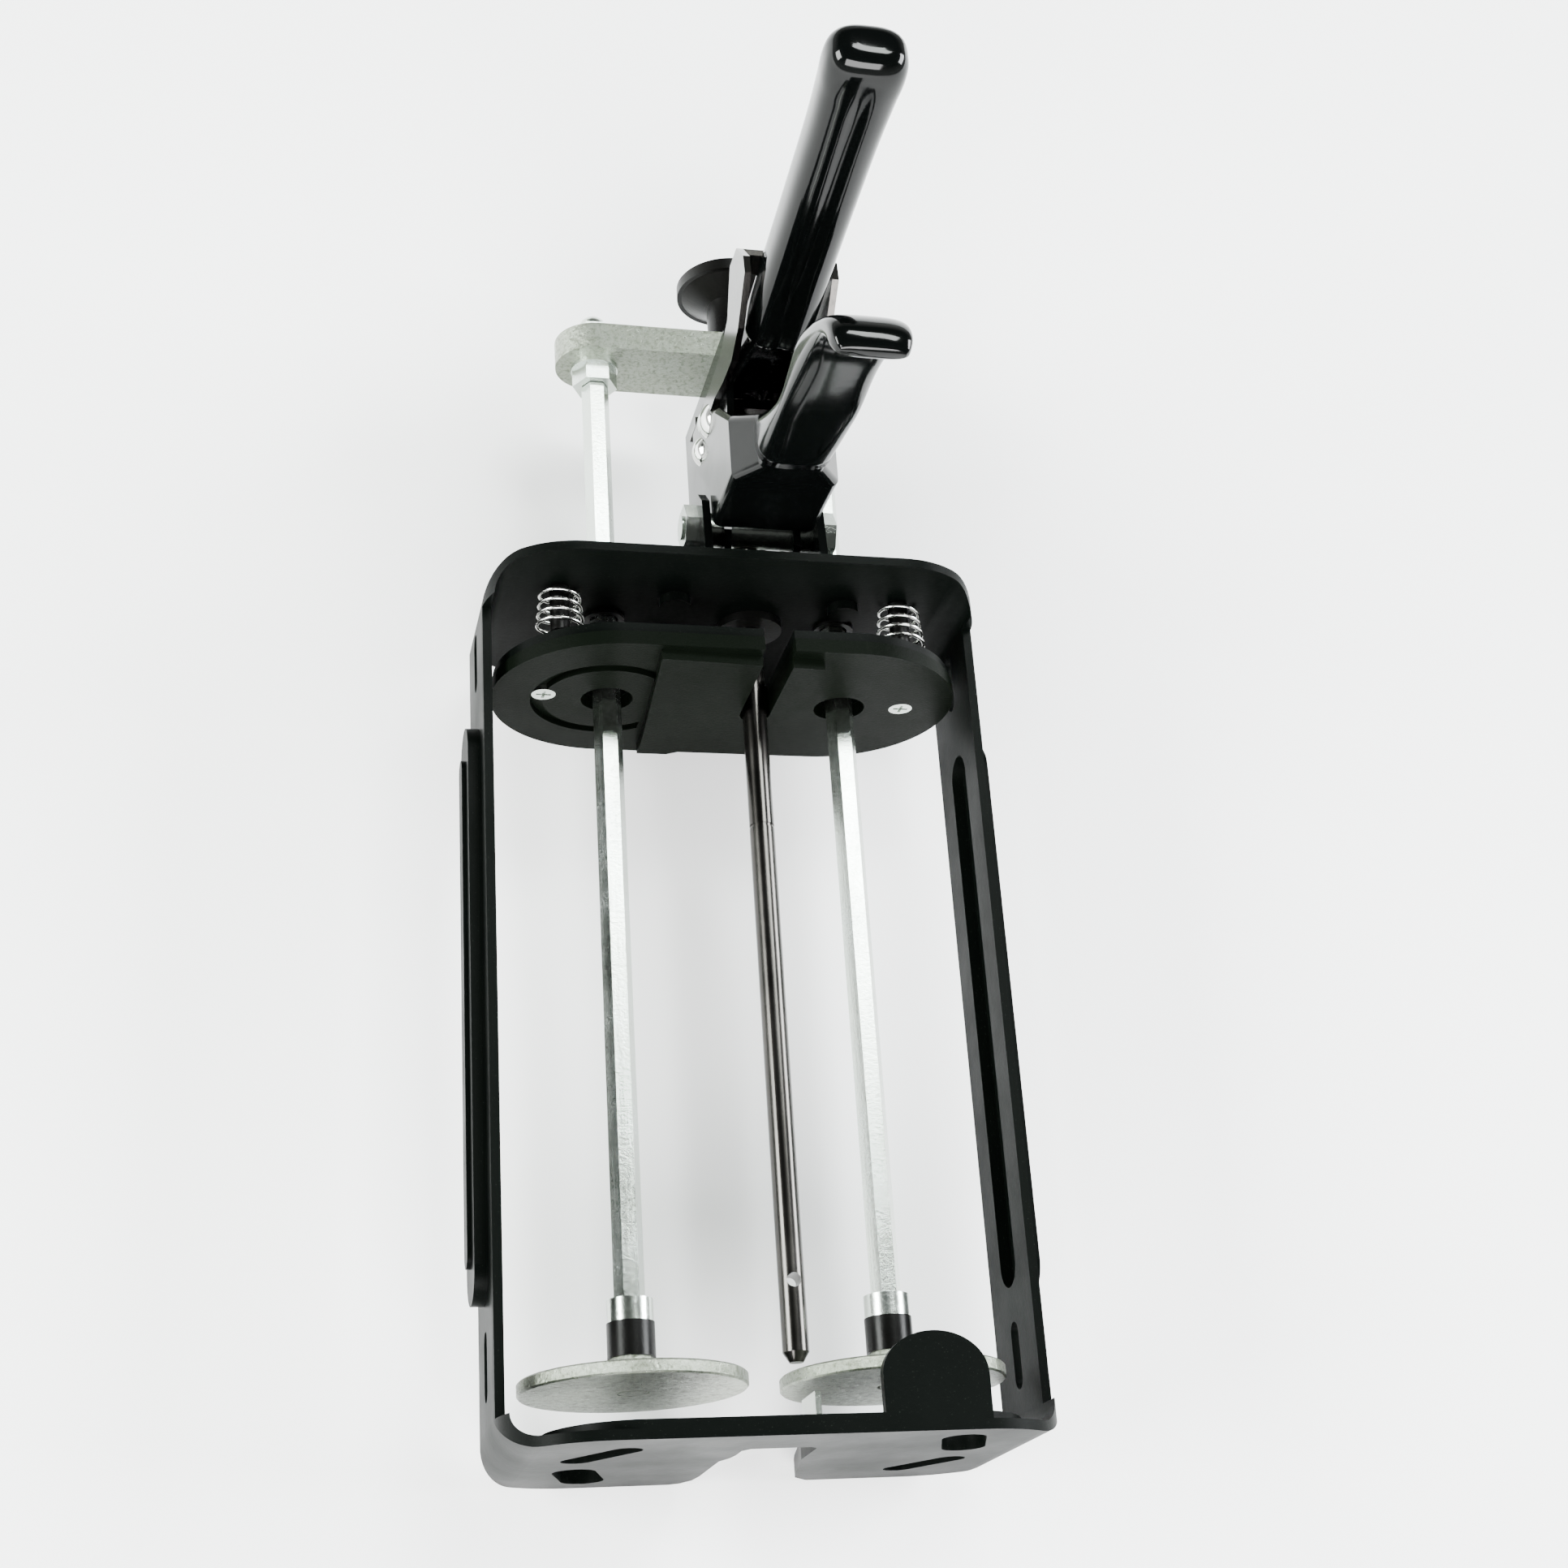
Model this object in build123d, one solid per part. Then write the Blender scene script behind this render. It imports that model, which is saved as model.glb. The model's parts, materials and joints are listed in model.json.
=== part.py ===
from build123d import *
import math
import os

# Hand-held applicator for side-by-side two-component cartridges, lying on its back.
# Row frame, millimetres: +X across the carriage, +Y from the nozzle plate to the pull knob,
# +Z towards the handle. Z = 0 is the plane that the edges of the two end plates rest on.

# Driving dimensions
CARRIAGE_WIDTH = 121.0
CARRIAGE_HEIGHT = 68.0
CARRIAGE_LENGTH = 204.2
OVERALL_LENGTH = 306.0
SHEET = 2.2
BEND_RADIUS = 8.0
FRONT_CORNER = 22.0
REAR_CORNER = 22.0
RAIL_HEIGHT = 28.0
LINER = 1.8
PISTON_DIAMETER = 50.0
PISTON_THICKNESS = 3.0
PUSH_ROD_SPACING = 58.0
PUSH_ROD_FLATS = 6.0
DRIVE_ROD_DIAMETER = 6.0
DRIVE_ROD_X = 7.5
RUNNING_GAP = 0.06

# Derived places
FRONT = -OVERALL_LENGTH / 2
HALF_WIDTH = CARRIAGE_WIDTH / 2
AXIS_Z = CARRIAGE_HEIGHT / 2
ROD_X = PUSH_ROD_SPACING / 2
REAR = FRONT + CARRIAGE_LENGTH
REAR_INNER = REAR - SHEET
RAIL_LOW = AXIS_Z - RAIL_HEIGHT / 2
RAIL_HIGH = AXIS_Z + RAIL_HEIGHT / 2
LINER_REAR = FRONT + SHEET + LINER
PISTON_FRONT = FRONT + 14.8
PISTON_REAR = PISTON_FRONT + PISTON_THICKNESS
HOLDER_FRONT = FRONT + 180.0
MOULDING_THICKNESS = 3.4
HOLDER_STEEL = 2.4
HOLDER_REAR = HOLDER_FRONT + MOULDING_THICKNESS + HOLDER_STEEL
BRIDGE_PLATE = 3.6
BRIDGE_FRONT = FRONT + 274.4
BRIDGE_MIDDLE = BRIDGE_FRONT + BRIDGE_PLATE
BRIDGE_REAR = BRIDGE_MIDDLE + BRIDGE_PLATE
BRIDGE_HEIGHT = 20.0
STUD_RADIUS = 2.5
KNOB_REAR = FRONT + OVERALL_LENGTH

# Handle and trigger group, all about the plane X = DRIVE_ROD_X
CHEEK_OUTER = 9.5
CHEEK_INNER = 7.7
EAR_INNER = 13.2
EAR_OUTER = 15.2
CHEEK_REAR = FRONT + 266.8
CHANNEL_FOOT_Z = 80.0
CROSS_BOLT_Y = FRONT + 220.0
CROSS_BOLT_Z = 49.0
TRIGGER_PIVOT_Y = FRONT + 246.0
TRIGGER_PIVOT_Z = 57.0
TRIGGER_AXLE_Y = FRONT + 243.0
TRIGGER_AXLE_Z = 47.5
FLANGE_OUTER = 12.9
FLANGE = 1.2
PADDLE_HALF = 8.0
VINYL = 1.0
LEVER_PIVOT_Y = FRONT + 252.5
LEVER_PIVOT_Z = 46.0
LEVER_INNER = 9.8
LEVER_OUTER = 11.4
DRIVE_PLATE_REAR = FRONT + 239.6
DRIVE_PLATE = 4.0
LOCK_PLATE_FRONT = FRONT + 257.0
LOCK_PLATE = 2.6


def slab(x0, x1, y0, y1, z0, z1):
    """A box between two corners."""
    size = (x1 - x0, y1 - y0, z1 - z0)
    centre = ((x0 + x1) / 2, (y0 + y1) / 2, (z0 + z1) / 2)
    return Pos(*centre) * Box(*size)


def rod_y(x, z, y0, y1, radius):
    """A cylinder along Y."""
    return Pos(x, (y0 + y1) / 2, z) * Rot(90, 0, 0) * Cylinder(radius, y1 - y0)


def rod_x(y, z, x0, x1, radius):
    """A cylinder along X."""
    return Pos((x0 + x1) / 2, y, z) * Rot(0, 90, 0) * Cylinder(radius, x1 - x0)


def tube_y(x, z, y0, y1, outer, inner):
    """A ring or sleeve along Y."""
    return rod_y(x, z, y0, y1, outer) - rod_y(x, z, y0 - 1, y1 + 1, inner)


def hex_y(x, z, y0, y1, flats):
    """A hexagonal bar along Y with two flats facing up and down."""
    section = RegularPolygon(flats / 2, 6, major_radius=False)
    return Pos(x, y1, z) * Rot(90, 0, 0) * extrude(section, y1 - y0)


def prism_y(sketch, y0, y1):
    """Extrude a sketch drawn in X and Z from y0 to y1."""
    return Pos(0, y1, 0) * Rot(90, 0, 0) * extrude(sketch, y1 - y0)


def prism_x(points, x0, x1):
    """Extrude an outline of (y, z) points from x0 to x1."""
    face = make_face(Polyline(*[(0, y, z) for y, z in points], close=True))
    return Pos(x0, 0, 0) * extrude(face, x1 - x0, dir=(1, 0, 0))


def outline_xz(points):
    """A closed face from (x, z) points."""
    return make_face(Polyline(*points, close=True))


def cap(radius, height):
    """A shallow domed cap standing on the XZ plane with its crown towards +Y."""
    ball_radius = (radius ** 2 + height ** 2) / (2 * height)
    half_angle = math.asin(radius / ball_radius) / 2
    middle = (ball_radius * math.sin(half_angle), height - ball_radius * (1 - math.cos(half_angle)))
    edge = ThreePointArc((radius, 0), middle, (0, height))
    profile = make_face([Line((0, 0), (radius, 0)), edge, Line((0, height), (0, 0))])
    return revolve(profile, Axis.Y)


def dome_y(x, z, y, radius, height):
    """A domed cap whose flat side is at y and whose crown points to +Y."""
    return Pos(x, y, z) * cap(radius, height)


def dome_x(x, y, z, radius, height, side):
    """A rivet head: flat side at x, crown towards side * X."""
    return Pos(x, y, z) * Rot(0, 0, -90 * side) * cap(radius, height)


def coil_y(x, z, y0, y1, radius, end_radius, wire, turns):
    """A helical spring along Y, conical when its two radii differ."""
    steps_per_turn = 12
    steps = int(turns * steps_per_turn)
    points = []
    for step in range(steps + 1):
        share = step / steps
        angle = 2 * math.pi * turns * share
        reach = radius + (end_radius - radius) * share
        length = y0 + (y1 - y0) * share
        points.append((x + reach * math.cos(angle), length, z + reach * math.sin(angle)))
    path = Spline(*points)
    section = Plane(origin=path @ 0, z_dir=path % 0) * Circle(wire / 2)
    return sweep(section, path)


def group(solids):
    """Several separate solids in one node."""
    return Compound(children=list(solids))


# ---------------------------------------------------------------- carriage

def side_slot(side, y_centre):
    """A long hole through a side rail."""
    length, height = 15.0, 5.0
    flat = slab(side * HALF_WIDTH - 5, side * HALF_WIDTH + 5,
                y_centre - (length - height) / 2, y_centre + (length - height) / 2,
                AXIS_Z - height / 2, AXIS_Z + height / 2)
    ends = [rod_x(y_centre + shift * (length - height) / 2, AXIS_Z,
                  side * HALF_WIDTH - 5, side * HALF_WIDTH + 5, height / 2) for shift in (-1, 1)]
    return flat + ends


def bead(side, depth, height, y0, y1, base):
    """A pressed rib with round ends, standing out of a rail by depth."""
    radius = height / 2
    x0 = min(base, base + side * depth)
    x1 = max(base, base + side * depth)
    body = slab(x0, x1, y0 + radius, y1 - radius, AXIS_Z - radius, AXIS_Z + radius)
    ends = [rod_x(y, AXIS_Z, x0, x1, radius) for y in (y0 + radius, y1 - radius)]
    return body + ends


def nozzle_notch(y0, y1):
    """The open mouth that the cartridge outlet drops into."""
    outline = outline_xz([(-18, -1), (-13.5, 1.5), (-11.5, 6), (-11, 12), (-11, 34), (-9.6, 38),
                          (-9, 42), (-9, 48), (-7.5, 50.5), (5.5, 50.5), (7, 49), (7.4, 33),
                          (11, 12), (12.5, 5), (17, -1)])
    return prism_y(outline, y0, y1)


def left_window(x, z, tilt, length, width, y0, y1):
    """One bean-shaped window of an end plate, tilted from upright."""
    sketch = Pos(x, z) * Rot(0, 0, tilt) * SlotOverall(length, width)
    return prism_y(sketch, y0, y1)


def end_windows(y0, y1):
    """The four windows: the right pair is the left pair turned half round."""
    left = [left_window(-38.5, 47.5, 56, 22, 7.0, y0, y1),
            left_window(-39.0, 18.0, 106, 23, 9.5, y0, y1)]
    right = [Pos(0, 0, 2 * AXIS_Z) * Rot(0, 180, 0) * window for window in left]
    return left + right


def end_profile(corner):
    """The full-height outline of an end plate."""
    return Pos(0, AXIS_Z) * RectangleRounded(CARRIAGE_WIDTH, CARRIAGE_HEIGHT, corner)


def carriage_frame():
    """One strap bent into a closed loop: nozzle plate, two ribbed rails and rear plate."""
    middle = FRONT + CARRIAGE_LENGTH / 2
    outer = Pos(0, middle) * RectangleRounded(CARRIAGE_WIDTH, CARRIAGE_LENGTH, BEND_RADIUS)
    inner = Pos(0, middle) * RectangleRounded(CARRIAGE_WIDTH - 2 * SHEET,
                                              CARRIAGE_LENGTH - 2 * SHEET, BEND_RADIUS - SHEET)
    loop = extrude(outer - inner, CARRIAGE_HEIGHT)
    front_half = loop & prism_y(end_profile(FRONT_CORNER), FRONT - 1, middle)
    rear_half = loop & prism_y(end_profile(REAR_CORNER), middle, REAR + 1)
    frame = front_half + rear_half
    reach = HALF_WIDTH + 5
    for low, high in ((-1, RAIL_LOW), (RAIL_HIGH, CARRIAGE_HEIGHT + 1)):
        frame -= slab(-reach, reach, FRONT + BEND_RADIUS, REAR - BEND_RADIUS, low, high)
    rib_front, rib_rear = FRONT + 34, FRONT + 170
    for side in (-1, 1):
        outside = side * HALF_WIDTH
        inside = side * (HALF_WIDTH - SHEET)
        frame += bead(side, 3.0, 15, rib_front, rib_rear, outside)
        frame += bead(side, 4.0, 6, rib_front + 8, rib_rear - 8, outside)
        frame -= bead(side, 3.0, 10.6, rib_front + 2.2, rib_rear - 2.2, inside)
        frame -= side_slot(side, FRONT + 21)
        frame -= side_slot(side, FRONT + 188)
    frame -= nozzle_notch(FRONT - 1, LINER_REAR + 1)
    for window in end_windows(FRONT - 1, LINER_REAR + 1):
        frame -= window
    for x in (-ROD_X, ROD_X):
        frame -= rod_y(x, AXIS_Z, REAR_INNER - 1, REAR + 1, 5.0)
    frame -= rod_y(DRIVE_ROD_X, AXIS_Z, REAR_INNER - 1, REAR + 1, 6.0)
    for x, z in bracket_bolt_places():
        frame -= rod_y(x, z, REAR_INNER - 1, REAR + 1, 2.1)
    return frame


def front_liner():
    """The doubler behind the nozzle plate, with the domed tab bent back over one cartridge."""
    width = CARRIAGE_WIDTH - 2 * BEND_RADIUS - 2
    outline = Pos(0, AXIS_Z) * RectangleRounded(width, CARRIAGE_HEIGHT, FRONT_CORNER - 3)
    plate = prism_y(outline, FRONT + SHEET, LINER_REAR)
    plate -= nozzle_notch(FRONT - 1, LINER_REAR + 1)
    for window in end_windows(FRONT - 1, LINER_REAR + 1):
        plate -= window
    tab_x, tab_half, tab_reach = 28.8, 11.5, 16.5
    tab_top = CARRIAGE_HEIGHT
    tab_low = CARRIAGE_HEIGHT - 2.2
    corner = 9.0
    tab = slab(tab_x - tab_half, tab_x + tab_half, FRONT + SHEET, LINER_REAR + tab_reach - corner,
               tab_low, tab_top)
    crown = Pos(tab_x, LINER_REAR + tab_reach - corner, tab_low)
    crown_outline = Ellipse(tab_half, corner) & Pos(0, corner) * Rectangle(4 * tab_half, 2 * corner)
    return plate + tab + crown * extrude(crown_outline, tab_top - tab_low)


def liner_clip():
    """An L-shaped spring clip behind the nozzle plate, which grips the cartridge outlet."""
    leg = slab(7.6, 8.9, LINER_REAR, FRONT + 12, 36, 48)
    foot = slab(7.6, 20, LINER_REAR, LINER_REAR + 1.2, 36, 48)
    return leg + foot


def liner_rivets():
    """Flush rivets that hold the clip to the doubler."""
    places = [(15.5, 39.5), (15.5, 44.5)]
    return group(dome_y(x, z, LINER_REAR + 1.2, 1.6, 0.8) for x, z in places)


def rod_bushes():
    """Flanged bushes that guide the two push rods through the rear plate."""
    solids = []
    for x in (-ROD_X, ROD_X):
        body = rod_y(x, AXIS_Z, REAR_INNER - 0.8, REAR + 1.5, 5.0)
        flange = rod_y(x, AXIS_Z, REAR, REAR + 1.5, 7.0)
        hole = rod_y(x, AXIS_Z, REAR_INNER - 2, REAR + 3, PUSH_ROD_FLATS / math.sqrt(3) + RUNNING_GAP)
        solids.append(body + flange - hole)
    return group(solids)


def drive_bush():
    """The plain bush that guides the drive rod through the rear plate."""
    body = rod_y(DRIVE_ROD_X, AXIS_Z, REAR_INNER - 0.8, REAR + 2, 6.0)
    flange = rod_y(DRIVE_ROD_X, AXIS_Z, REAR_INNER - 2.0, REAR_INNER, 8.0)
    hole = rod_y(DRIVE_ROD_X, AXIS_Z, REAR_INNER - 4, REAR + 4, DRIVE_ROD_DIAMETER / 2 + RUNNING_GAP)
    return body + flange - hole


def bracket_bolt_places():
    """Centres of the four bolts that hold the handle bracket to the rear plate."""
    return [(DRIVE_ROD_X + dx, AXIS_Z + dz) for dx in (-21, 21) for dz in (-10, 12)]


def bracket_bolts():
    """Round-head bolts seen on the inner face of the rear plate."""
    solids = []
    for x, z in bracket_bolt_places():
        head = rod_y(x, z, REAR_INNER - 2.2, REAR_INNER, 3.8)
        shank = rod_y(x, z, REAR_INNER, REAR + 8, 2.0)
        solids.append(head + shank)
    return group(solids)


def bracket_nuts():
    """The nuts of the bracket bolts, behind the bracket flange."""
    solids = []
    for x, z in bracket_bolt_places():
        nut = hex_y(x, z, REAR + 2.1, REAR + 5.3, 7.0)
        solids.append(nut - rod_y(x, z, REAR, REAR + 9, 2.0))
    return group(solids)


# ---------------------------------------------------------------- cartridge holder

def holder_outline(inset):
    """The stadium outline shared by the two holder plates."""
    half, top, low = 57.0 - inset, 64.0 - inset, 5.0 + inset
    radius = (top - low) / 2 - 0.01
    return Pos(0, (top + low) / 2) * RectangleRounded(2 * half, top - low, radius)


def holder_holes(y0, y1, radius):
    """Clearance holes for the push rods and the open slot for the drive rod."""
    cutters = [rod_y(x, AXIS_Z, y0, y1, radius) for x in (-ROD_X, ROD_X)]
    slot_half = 3.7
    cutters.append(rod_y(DRIVE_ROD_X, AXIS_Z, y0, y1, slot_half))
    cutters.append(slab(DRIVE_ROD_X - slot_half, DRIVE_ROD_X + slot_half, y0, y1,
                        AXIS_Z, CARRIAGE_HEIGHT))
    return cutters


def holder_steel_plate():
    """The backing plate of the sprung cartridge holder."""
    plate = prism_y(holder_outline(0.6), HOLDER_REAR - HOLDER_STEEL, HOLDER_REAR)
    for cutter in holder_holes(HOLDER_FRONT - 1, HOLDER_REAR + 1, 6.0):
        plate -= cutter
    for x in (-44.5, 44.5):
        plate -= rod_y(x, 35.0, HOLDER_FRONT, HOLDER_REAR + 1, 1.6)
    return plate


def holder_moulding():
    """The plastic cartridge seat: ring groove and raised centre block with a slanted side."""
    back = HOLDER_FRONT + MOULDING_THICKNESS
    plate = prism_y(holder_outline(0), HOLDER_FRONT, back)
    block = prism_y(outline_xz([(-20.5, 62), (-17.5, 16), (-17.5, 9), (-10, 9), (-6, 11.5), (0, 13.5),
                                (6, 12), (12.5, 9.5), (12.5, 30), (19, 46), (19, 60)]),
                    HOLDER_FRONT - 2.6, HOLDER_FRONT)
    plate += block
    ring = tube_y(-ROD_X, AXIS_Z, HOLDER_FRONT - 1, HOLDER_FRONT + 1.6, 18.5, 15.5)
    ring -= slab(-19, 0, HOLDER_FRONT - 2, HOLDER_FRONT + 3, 0, CARRIAGE_HEIGHT)
    plate -= ring
    for cutter in holder_holes(HOLDER_FRONT - 4, back + 1, 6.3):
        plate -= cutter
    for x in (-44.5, 44.5):
        plate -= rod_y(x, 35.0, HOLDER_FRONT - 1, back + 1, 1.6)
        plate -= rod_y(x, 35.0, HOLDER_FRONT - 1, HOLDER_FRONT + 1.4, 3.0)
    return plate


def holder_screws():
    """Two cross-head screws that join the moulding to its backing plate."""
    solids = []
    for x in (-44.5, 44.5):
        head = rod_y(x, 35.0, HOLDER_FRONT + 0.1, HOLDER_FRONT + 1.4, 2.9)
        shank = rod_y(x, 35.0, HOLDER_FRONT + 1.4, HOLDER_REAR + 0.6, 1.55)
        cross = slab(x - 1.8, x + 1.8, HOLDER_FRONT, HOLDER_FRONT + 0.8, 34.65, 35.35)
        cross += slab(x - 0.35, x + 0.35, HOLDER_FRONT, HOLDER_FRONT + 0.8, 33.2, 36.8)
        solids.append(head + shank - cross)
    return group(solids)


def holder_spring_places():
    """Where the two holder springs and their guide pins stand."""
    return [(-42.0, 48.0), (42.0, 48.0)]


def holder_spring(side):
    """A conical spring at its pressed length, seated on the rear plate."""
    x, z = holder_spring_places()[0 if side < 0 else 1]
    return coil_y(x, z, REAR_INNER - 11.2, REAR_INNER - 0.6, 5.6, 4.6, 0.9, 4)


def holder_guides():
    """Shouldered guide pins riveted to the rear plate, inside the springs."""
    solids = []
    for x, z in holder_spring_places():
        solids.append(rod_y(x, z, REAR_INNER - 11.6, REAR_INNER, 2.4))
    return group(solids)


# ---------------------------------------------------------------- push-rod assembly

def push_rod(x):
    """A hexagonal push rod with turned ends for its piston disc and the bridge."""
    bar = hex_y(x, AXIS_Z, PISTON_REAR, BRIDGE_FRONT - 6.2, PUSH_ROD_FLATS)
    stud = rod_y(x, AXIS_Z, BRIDGE_FRONT - 6.2, BRIDGE_REAR + 4, STUD_RADIUS)
    return bar + stud


def piston_disc(x):
    """A flat zinc-plated piston disc with a shallow weld mark and a short neck."""
    disc = rod_y(x, AXIS_Z, PISTON_FRONT, PISTON_REAR, PISTON_DIAMETER / 2)
    disc = chamfer(disc.edges().filter_by(GeomType.CIRCLE), 0.4)
    neck = tube_y(x, AXIS_Z, PISTON_REAR, PISTON_REAR + 4.4, 4.6, PUSH_ROD_FLATS / math.sqrt(3) + 0.05)
    mark = tube_y(x, AXIS_Z, PISTON_FRONT - 0.1, PISTON_FRONT + 0.25, 3.6, 3.1)
    return disc + neck - mark


def hub_sleeve(x):
    """The black buffer sleeve on a push rod, behind its disc."""
    bore = PUSH_ROD_FLATS / math.sqrt(3) + 0.05
    start = PISTON_REAR + 4.4
    return tube_y(x, AXIS_Z, start, start + 7.6, 5.3, bore)


def hub_collar(x):
    """The bright collar that traps the buffer sleeve."""
    bore = PUSH_ROD_FLATS / math.sqrt(3) + 0.05
    start = PISTON_REAR + 12.0
    return tube_y(x, AXIS_Z, start, start + 5.0, 5.1, bore)


def drive_rod():
    """The hardened round drive rod with a chamfered tip, a ring groove and a cross hole."""
    radius = DRIVE_ROD_DIAMETER / 2
    tip, tail = FRONT + 20.5, BRIDGE_REAR + 10
    rod = rod_y(DRIVE_ROD_X, AXIS_Z, tip + 2.2, tail, radius)
    nose = Pos(DRIVE_ROD_X, tip + 1.1, AXIS_Z) * Rot(90, 0, 0) * Cone(radius, 1.6, 2.2)
    rod = rod + nose
    rod -= Pos(DRIVE_ROD_X, FRONT + 38.2, AXIS_Z) * Cylinder(1.6, 3 * radius)
    return rod - tube_y(DRIVE_ROD_X, AXIS_Z, FRONT + 147, FRONT + 147.8, radius + 1, radius - 0.2)


def bridge_plate(y0):
    """One of the two stacked bridge plates, with fully rounded ends."""
    length = PUSH_ROD_SPACING + BRIDGE_HEIGHT
    plate = prism_y(Pos(0, AXIS_Z) * SlotOverall(length, BRIDGE_HEIGHT), y0, y0 + BRIDGE_PLATE)
    for x in (-ROD_X, ROD_X):
        plate -= rod_y(x, AXIS_Z, y0 - 1, y0 + BRIDGE_PLATE + 1, STUD_RADIUS + 0.05)
    return plate - rod_y(DRIVE_ROD_X, AXIS_Z, y0 - 1, y0 + BRIDGE_PLATE + 1,
                         DRIVE_ROD_DIAMETER / 2 + 0.05)


def bridge_washers():
    """Plain washers between the lock nuts and the bridge."""
    return group(tube_y(x, AXIS_Z, BRIDGE_FRONT - 1.2, BRIDGE_FRONT, 6.0, STUD_RADIUS + 0.05)
                 for x in (-ROD_X, ROD_X))


def bridge_lock_nuts():
    """Hexagonal nuts in front of the bridge."""
    solids = []
    for x in (-ROD_X, ROD_X):
        nut = hex_y(x, AXIS_Z, BRIDGE_FRONT - 6.0, BRIDGE_FRONT - 1.2, 10.0)
        solids.append(nut - rod_y(x, AXIS_Z, BRIDGE_FRONT - 8, BRIDGE_FRONT, STUD_RADIUS + 0.05))
    return group(solids)


def bridge_dome_nuts():
    """Acorn nuts behind the bridge."""
    solids = []
    for x in (-ROD_X, ROD_X):
        nut = hex_y(x, AXIS_Z, BRIDGE_REAR, BRIDGE_REAR + 4.5, 8.0)
        cap = dome_y(x, AXIS_Z, BRIDGE_REAR + 4.5, 3.7, 3.5)
        solids.append(nut + cap - rod_y(x, AXIS_Z, BRIDGE_REAR - 1, BRIDGE_REAR + 4.1, STUD_RADIUS + 0.05))
    return group(solids)


def drive_rod_collar():
    """The collar that stops the bridge on the drive rod."""
    return tube_y(DRIVE_ROD_X, AXIS_Z, BRIDGE_FRONT - 4, BRIDGE_FRONT, 5.0, DRIVE_ROD_DIAMETER / 2 + 0.05)


def pull_knob():
    """The mushroom knob on the rear end of the drive rod."""
    stem = rod_y(DRIVE_ROD_X, AXIS_Z, BRIDGE_REAR, KNOB_REAR - 6, 5.8)
    skirt = Pos(DRIVE_ROD_X, KNOB_REAR - 8.2, AXIS_Z) * Rot(-90, 0, 0) * Cone(5.8, 12.2, 3.6)
    rim = rod_y(DRIVE_ROD_X, AXIS_Z, KNOB_REAR - 6.4, KNOB_REAR - 3.4, 13.4)
    crown = dome_y(DRIVE_ROD_X, AXIS_Z, KNOB_REAR - 3.4, 13.2, 3.4)
    blind_hole = rod_y(DRIVE_ROD_X, AXIS_Z, BRIDGE_REAR - 1, BRIDGE_REAR + 10.2,
                       DRIVE_ROD_DIAMETER / 2 + 0.05)
    return stem + skirt + rim + crown - blind_hole


# ---------------------------------------------------------------- handle

def section_at(z, half_width, y0, y1, corner):
    """A rounded rectangle in the plane at height z."""
    centre = Pos(DRIVE_ROD_X, (y0 + y1) / 2, z)
    return centre * RectangleRounded(2 * half_width, y1 - y0, corner)


def both_sides(points, inner, outer):
    """A pair of plates of one (y, z) outline, mirrored about the handle plane."""
    placed = [(FRONT + y, z) for y, z in points]
    left = prism_x(placed, DRIVE_ROD_X - outer, DRIVE_ROD_X - inner)
    right = prism_x(placed, DRIVE_ROD_X + inner, DRIVE_ROD_X + outer)
    return left + right


def channel_stations():
    """Height, half width, front and rear of the handle channel at its foot and its top."""
    return [(CHANNEL_FOOT_Z, 6.6, 253.0, 264.2), (165, 6.0, 261.0, 271.0)]


def handle_frame():
    """The handle stamping: two cheeks round the mechanism, joined behind, and a channel above."""
    cheeks = both_sides([(206.4, 16), (206.4, 42), (214, 54), (236, 55.5), (241, 64), (254, 66),
                         (266.8, 66), (266.8, 16)], CHEEK_INNER, CHEEK_OUTER)
    rear = slab(DRIVE_ROD_X - CHEEK_OUTER, DRIVE_ROD_X + CHEEK_OUTER, CHEEK_REAR - 2.0, CHEEK_REAR,
                16, 66)
    shoulder = [(65, CHEEK_OUTER, 252.0, 266.8), (CHANNEL_FOOT_Z, 6.6, 253.0, 264.2)]
    column = channel_stations()
    frame = cheeks + rear
    for stations in (shoulder, column):
        outer = loft([section_at(z, half, FRONT + y0, FRONT + y1, 1.2)
                      for z, half, y0, y1 in stations], ruled=True)
        inner = loft([section_at(z, half - 1.8, FRONT + y0 - 20, FRONT + y1 - 1.8, 0.6)
                      for z, half, y0, y1 in stations], ruled=True)
        frame = frame + (outer - inner)
    frame -= rod_y(DRIVE_ROD_X, AXIS_Z, FRONT + 250, FRONT + 280, 5.2)
    for side in (-1, 1):
        x0 = DRIVE_ROD_X + min(side * 7.0, side * 10.5)
        frame -= slab(x0, x0 + 3.5, FRONT + 254.6, FRONT + 262.4, 27.5, 39.5)
        frame -= slab(x0, x0 + 3.5, FRONT + 237.0, FRONT + 245.8, 44.6, 52.2)
    for y, z, radius in ((CROSS_BOLT_Y, CROSS_BOLT_Z, 3.05), (TRIGGER_PIVOT_Y, TRIGGER_PIVOT_Z, 2.56),
                         (LEVER_PIVOT_Y, LEVER_PIVOT_Z, 2.05)):
        frame -= rod_x(y, z, DRIVE_ROD_X - 20, DRIVE_ROD_X + 20, radius)
    return frame


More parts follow.
